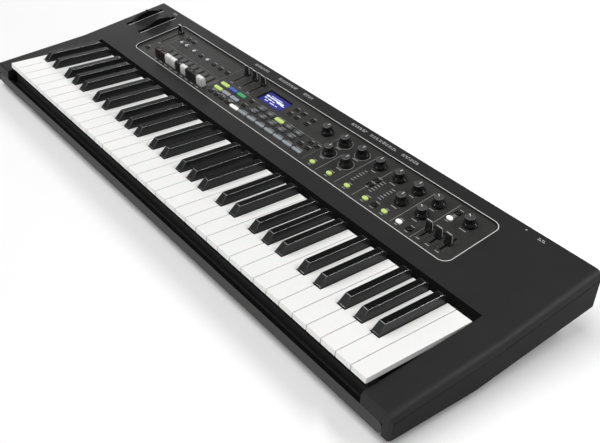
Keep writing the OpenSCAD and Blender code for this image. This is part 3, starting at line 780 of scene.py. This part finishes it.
def menu_style(i, box):
    return (1, 2.5, "round") if near(box, ROUND_MENU) else (0, 1.2, "small")


button_piece("part_select_buttons", [BTN_LIME, BTN_SILVER, BTN_BLUE, BTN_GREEN], part_style)
button_piece("voice_buttons", [BTN_SMOKE, BTN_WHITE, BTN_PALE, BTN_LIME, MARK], voice_style)
button_piece("effect_buttons", [BTN_LIME, BTN_WHITE, BTN_DARK], effect_style)
button_piece("menu_buttons", [BTN_DARK, BTN_ICE], menu_style)

# ---------- display ----------

# lit blocks: x and y of the middle from that of the window, width and length, row by row from the rear
LCD_BLOCKS = (
    (-2, 6.4, 26, 1.2), (-19, 3.0, 7, 3.4), (-4, 2.6, 20, 2.4), (11, 1.6, 14, 4.6), (-18, -2.2, 6, 2.2),
    (-9, -2.6, 8, 2.2), (0, -3.0, 6, 1.6), (19, -0.6, 6, 1.8), (-12, -7.4, 8, 1.4), (2, -7.6, 10, 1.6),
    (12, -7.6, 5, 1.4),
)


def display():
    """The clear window, and under it the module with its lit screen."""
    box = panel_boxes("display_window")[0]
    bm = bmesh.new()
    cap(bm, box.w, box.l, box.low + 0.2, box.top, 0.8, 0.25, panel_matrix(box.x, box.d, 0), 0, k=3)
    finish_mesh("display_glass", bm, [GLASS], "body", "display_window")
    bm = bmesh.new()
    screen_h = box.low - 0.3
    m = panel_matrix(box.x, box.d, screen_h)
    cap(bm, box.w - 2, box.l - 2, -11.0, -0.6, 0.5, 0.1, m, 2, k=2)
    cap(bm, box.w - 5, box.l - 5, -0.7, -0.35, 0.5, 0.05, m, 0, k=2)
    for x, y, w, l in LCD_BLOCKS:
        cap(bm, w, l, -0.4, -0.2, 0.2, 0.04, panel_matrix(box.x + x, box.d + y * S.y, screen_h), 1, k=2)
    finish_mesh("display_screen", bm, [LCD, LCD_ON, SOCKET], "body", "display_module")


display()

# ---------- levers ----------

LEVERS = ("pitch_lever", "modulation_lever")

for node in LEVERS:
    bevelled(node + ".blade", node, [LEVER], node, width=0.7, angle=24)

# ---------- rear sockets ----------


def jack_pick(f):
    """The nuts at the rear wall are metal, the bodies inside are black."""
    return 0 if f.calc_center_median().y > HALF_D - 3 * MM else 1


bevelled("jack_row", "jack_sockets", [NICKEL, SOCKET], "body", width=0.25, segments=2, pick=jack_pick)
bevelled("data_row", "data_sockets", [SOCKET, NICKEL], "body", width=0.2, segments=2)
bevelled("power_key", "power_button", [GLOSS], "power_button")

# ---------- printed lines and marks ----------

# material numbers of the print
BRIGHT, LABEL, FAINT, DIVIDER = range(4)
# from and to heights of print on the control panel, and on the top skin round it
INK = (RECESS - 0.05, RECESS + 0.08)
SKIN_INK = (-0.05, 0.1)
# how far the control panel runs under the skin on every side
PANEL_LAP = 5
BORDER_R = 12.3
BORDER_W = 0.95
BORDER_GAP = 0.3
# the four knobs with a full ring round them
RINGED = ("knob_1", "knob_2", "knob_3", "knob_4")
RING_R = 11.0
# from and to distance from the front of the lever slots
LEVER_SLOT = (239, 314)
SCALE_STEPS = 7
DRAWBAR_STEPS = 8
# x, and from and to distance from the front
DIVIDERS = ((102, 213, 262), (139.2, 215, 292), (174.4, 214, 288), (244, 215, 296), (281, 212, 302))
FAINT_DIVIDERS = ((70, 216, 296), (-176, 216, 298), (-332, 216, 298))
CHOICE_LISTS = ((151, 237, 262), (184.5, 238, 263), (203.5, 236, 261))
CHOICES = 6
# from and to x, and distance from the front
CROSS_RULES = ((-330, -180, 254.5), (-170, -100, 259), (-96, 66, 257.5))
# from and to x of the marks over each group of rear sockets, and the distance of their two rows
SOCKET_MARKS = (
    (-413, -400), (-170, -135), (-110, -67), (-50, -30), (58, 88), (96, 112), (114, 130), (132, 147),
    (158, 189), (384, 394),
)
SOCKET_ROWS = (319.0, 321.8)
POWER_MARK = (365, 323)


def ring_line(bm, x0, x1, d0, d1, r, width, h0, h1, mat):
    """A rounded-rectangle line around an area of the panel."""
    m = panel_matrix((x0 + x1) / 2, (d0 + d1) / 2, 0)
    w, l = x1 - x0, (d1 - d0) / S.y
    inner = outline(w, l, r, 10)
    outer = outline(w + 2 * width, l + 2 * width, r + width, 10)
    n = len(inner)
    loops = []
    for pts, h in ((inner, h0), (inner, h1), (outer, h1), (outer, h0)):
        loops.append([bm.verts.new(m @ (Vector((x, y, h)) * MM)) for x, y in pts])
    for p, q in zip(loops, loops[1:] + loops[:1]):
        for i in range(n):
            bm.faces.new((p[i], p[(i + 1) % n], q[(i + 1) % n], q[i])).material_index = mat


def dash(bm, x, d, w, l=1.3, mat=LABEL):
    """A plain dash on the control panel, in place of a label."""
    slab(bm, x - w / 2, x + w / 2, d - l / 2, d + l / 2, *INK, mat)


def border(bm):
    """The line round the recess, which is found from the CAD panel plate."""
    lo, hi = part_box("control_panel")
    x0, x1 = lo.x / MM + PANEL_LAP, hi.x / MM - PANEL_LAP
    plate = np.array([to_panel(v.co) for v in NODES["control_panel"].data.vertices])
    d0, d1 = plate[:, 1].min() + PANEL_LAP * S.y, plate[:, 1].max() - PANEL_LAP * S.y
    gap = BORDER_GAP
    ring_line(bm, x0 - gap, x1 + gap, d0 - gap, d1 + gap, BORDER_R, BORDER_W, -0.1, 0.12, BRIGHT)


def lever_print(bm):
    """A line along the right side of each lever slot."""
    for node in LEVERS:
        lo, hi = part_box(node)
        x = (lo.x + hi.x) / 2 / MM
        slab(bm, x + 4.4, x + 5.4, *LEVER_SLOT, -0.1, 0.14, BRIGHT)


def knob_print(bm):
    """A label under each knob, and a ring round it or a mark at each end of its turn."""
    for node in KNOBS:
        if node == "knob_dial":
            continue
        x, d, _ = to_panel(Vector(JOINTS[node + "_turn"]["pos_m"]))
        dash(bm, x, d - 13.2, RNG.uniform(8, 12))
        if node in RINGED:
            r = RING_R
            ring_line(bm, x - r, x + r, d - r * S.y, d + r * S.y, r, 0.55, *INK, LABEL)
            continue
        for t in (math.radians(-150), math.radians(150)):
            px, pd = x + 11.4 * math.sin(t), d + 11.4 * math.cos(t) * S.y
            slab(bm, px - 0.35, px + 0.35, pd - 0.8, pd + 0.8, *INK, FAINT, r=0.1, turn=-t)


def button_print(bm):
    """The labels over and under the buttons."""
    for box in panel_boxes("effect_buttons", BUTTON_FLOOR):
        dash(bm, box.x, box.d + 6.2, RNG.uniform(6, 9), 1.0)
        dash(bm, box.x, box.d - 6.2, RNG.uniform(5, 7), 0.9)
    for box in panel_boxes("voice_buttons", BUTTON_FLOOR):
        dash(bm, box.x, box.d + box.l / 2 + 2.6, box.w * RNG.uniform(0.45, 0.8), 1.1)
    for box in panel_boxes("part_select_buttons", BUTTON_FLOOR):
        if box.d < 245:
            dash(bm, box.x, box.d - 6.0, box.w * 0.6, 1.1)
    for box in panel_boxes("menu_buttons", BUTTON_FLOOR):
        dash(bm, box.x, box.d + 4.9, RNG.uniform(5, 8), 1.0)


def slider_print(bm):
    """A label under each slider, and a scale up both sides of its slot."""
    for node in SLIDERS:
        box = panel_boxes(node, 0.0)[0]
        low, high = JOINTS[node + "_travel"]["range_m"]
        d0, d1 = box.d + low / MM - 4, box.d + high / MM + 4
        dash(bm, box.x, d0 - 3.4, 6.5, 1.2)
        last = SCALE_STEPS - 1
        for i in range(SCALE_STEPS):
            d = d0 + 3 + (d1 - d0 - 6) * i / last
            width = 2.6 if i in (0, last // 2, last) else 1.6
            for side in (-1, 1):
                dash(bm, box.x + side * 4.6, d, width, 0.45, FAINT)


def drawbar_print(bm):
    """The scales between the drawbar slots, and a label under each."""
    for box in sorted(sum([panel_boxes(node, 0.0) for node in DRAWBARS], [])):
        for i in range(DRAWBAR_STEPS):
            dash(bm, box.x + box.w / 2 + 0.35, box.d + 7.5 + 2.7 * i, 7.0, 1.0, FAINT)
        dash(bm, box.x, box.d - 8.6, 7.5, 1.2)


def section_print(bm):
    """The lines between sections, and the lists of choices as short stacks of dashes."""
    for x, d0, d1 in DIVIDERS:
        slab(bm, x - 0.4, x + 0.4, d0, d1, *INK, DIVIDER)
    for x, d0, d1 in FAINT_DIVIDERS:
        slab(bm, x - 0.3, x + 0.3, d0, d1, *INK, FAINT)
    for x0, x1, d in CROSS_RULES:
        slab(bm, x0, x1, d - 0.3, d + 0.3, *INK, FAINT)
    for x, d0, d1 in CHOICE_LISTS:
        for i in range(CHOICES):
            dash(bm, x, d0 + (d1 - d0) * i / (CHOICES - 1), RNG.uniform(4.5, 7), 1.1)


def rear_print(bm):
    """Generic marks over the rear sockets and the power button."""
    for x0, x1 in SOCKET_MARKS:
        for row in SOCKET_ROWS:
            x = x0
            while x < x1 - 2:
                w = RNG.uniform(2.5, 6.0)
                slab(bm, x, min(x + w, x1), row, row + RNG.uniform(1.2, 2.0), *SKIN_INK, LABEL)
                x += w + RNG.uniform(1.0, 2.2)
    cap(bm, 2.6, 2.6, -0.05, 0.12, 1.3, 0.05, panel_matrix(*POWER_MARK, 0), LABEL)


bm = bmesh.new()
for printed in (
    border,
    lever_print,
    knob_print,
    button_print,
    slider_print,
    drawbar_print,
    section_print,
    rear_print,
):
    printed(bm)
finish_mesh("panel_print", bm, [LINE, MARK, DIM, RULE], "body")

# ---------- floor, lights, camera ----------

# in metres: half the width of the floor, and the knobs, which the small cards point at
FLOOR_HALF = 6
KNOB_AREA = (0.2, 0.07, 0.08)


def pale_floor():
    bm = bmesh.new()
    h = FLOOR_HALF
    bm.faces.new([bm.verts.new(p) for p in ((-h, -h, 0), (h, -h, 0), (h, h, 0), (-h, h, 0))])
    me = bpy.data.meshes.new("floor")
    bm.to_mesh(me)
    bm.free()
    pale = material(
        "floor_pale",
        (0.86, 0.86, 0.86),
        rough=0.9,
        grain=40,
        bump=0.0,
        vary=0.005,
        rough_vary=0.02,
        specular=0.1,
    )
    me.materials.append(pale)
    floor = bpy.data.objects.new("floor", me)
    bpy.context.scene.collection.objects.link(floor)


def studio_world():
    world = bpy.data.worlds.new("studio")
    bpy.context.scene.world = world
    world.use_nodes = True
    background = world.node_tree.nodes["Background"]
    background.inputs["Color"].default_value = (1, 1, 1, 1)
    background.inputs["Strength"].default_value = 0.16


def sun():
    light = bpy.data.lights.new("soft_sun", "SUN")
    light.energy = 2.5
    light.angle = math.radians(60)
    ob = bpy.data.objects.new("soft_sun", light)
    ob.rotation_euler = Vector((0.35, 0.45, -1.0)).to_track_quat("-Z", "Y").to_euler()
    bpy.context.scene.collection.objects.link(ob)


def area(name, loc, target, size, size_y, power):
    light = bpy.data.lights.new(name, "AREA")
    light.shape = "RECTANGLE"
    light.size, light.size_y = size, size_y
    light.energy = power
    ob = bpy.data.objects.new(name, light)
    ob.location = loc
    ob.rotation_euler = (Vector(target) - Vector(loc)).to_track_quat("-Z", "Y").to_euler()
    bpy.context.scene.collection.objects.link(ob)


def camera():
    data = bpy.data.cameras.new("camera")
    data.sensor_width = 36
    data.lens = 55.54
    data.shift_x = 0.1667
    data.shift_y = -0.1758
    data.clip_start = 0.02
    ob = bpy.data.objects.new("camera", data)
    ob.location = (0.8789, -0.7110, 0.7343)
    ob.rotation_euler = (1.06546, -0.03889, 0.96553)
    bpy.context.scene.collection.objects.link(ob)
    bpy.context.scene.camera = ob


pale_floor()
studio_world()
sun()
area("rim_strip", (1.25, 1.3, 1.75), (0.1, 0, 0.05), 1.5, 0.35, 30)
area("left_box", (-2.6, 1.2, 0.9), (-0.3, 0, 0.05), 1.0, 0.7, 8)
# two small cards, seen as spots on the knobs
area("front_card", (-0.52, -1.77, 0.4), KNOB_AREA, 0.3, 0.2, 3.0)
area("rear_card", (1.72, 1.35, 0.4), KNOB_AREA, 0.3, 0.2, 3.0)
camera()
bpy.context.scene.view_settings.view_transform = "Standard"
